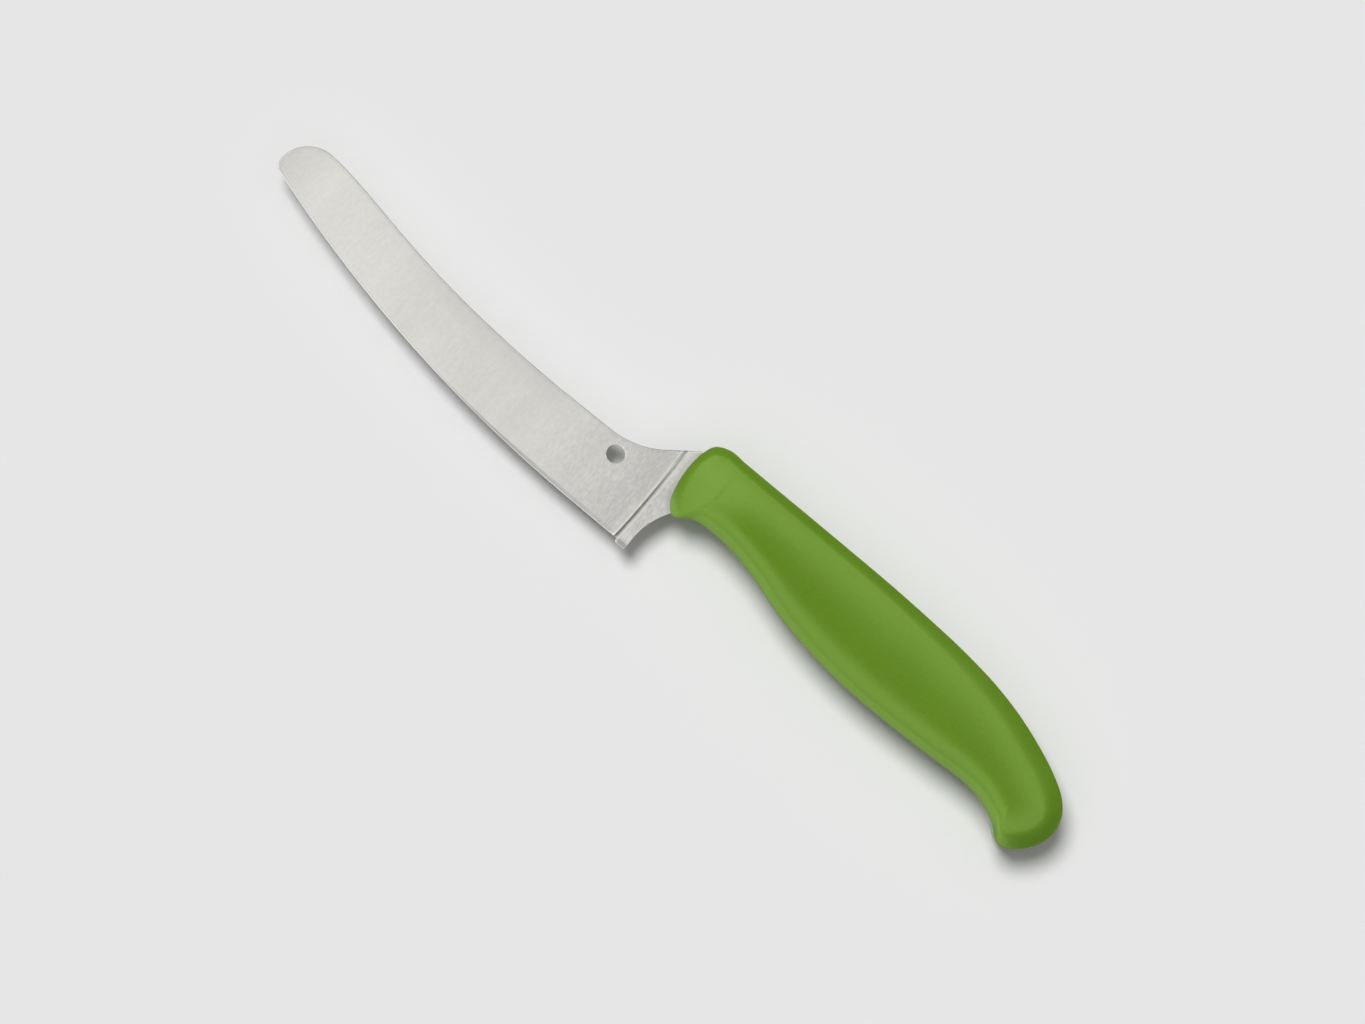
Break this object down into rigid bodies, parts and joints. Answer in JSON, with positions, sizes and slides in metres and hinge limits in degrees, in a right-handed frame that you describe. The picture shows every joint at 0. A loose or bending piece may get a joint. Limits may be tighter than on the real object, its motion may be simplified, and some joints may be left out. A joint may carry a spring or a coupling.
{
  "type": "small offset kitchen knife",
  "caption": "Small kitchen knife with a curved satin steel blade set below the handle's back, a hanging hole near the heel, and a moulded plastic handle with a finger recess and a hooked butt.",
  "frame": {"origin": "centre of the bounding box, at the level that the handle's side lies on", "axes": "+X from the tip to the butt, +Y from the cutting edge to the back of the handle, +Z square to the blade's faces, upwards as the knife lies on its side"},
  "size_m": [0.226, 0.032, 0.0155],
  "materials": {
    "blade_steel": "satin, ground from spine to edge",
    "handle_plastic": "fine satin texture"
  },
  "bodies": {
    "root": {"blade": "blade_steel", "handle": "handle_plastic"}
  },
  "joints": []
}
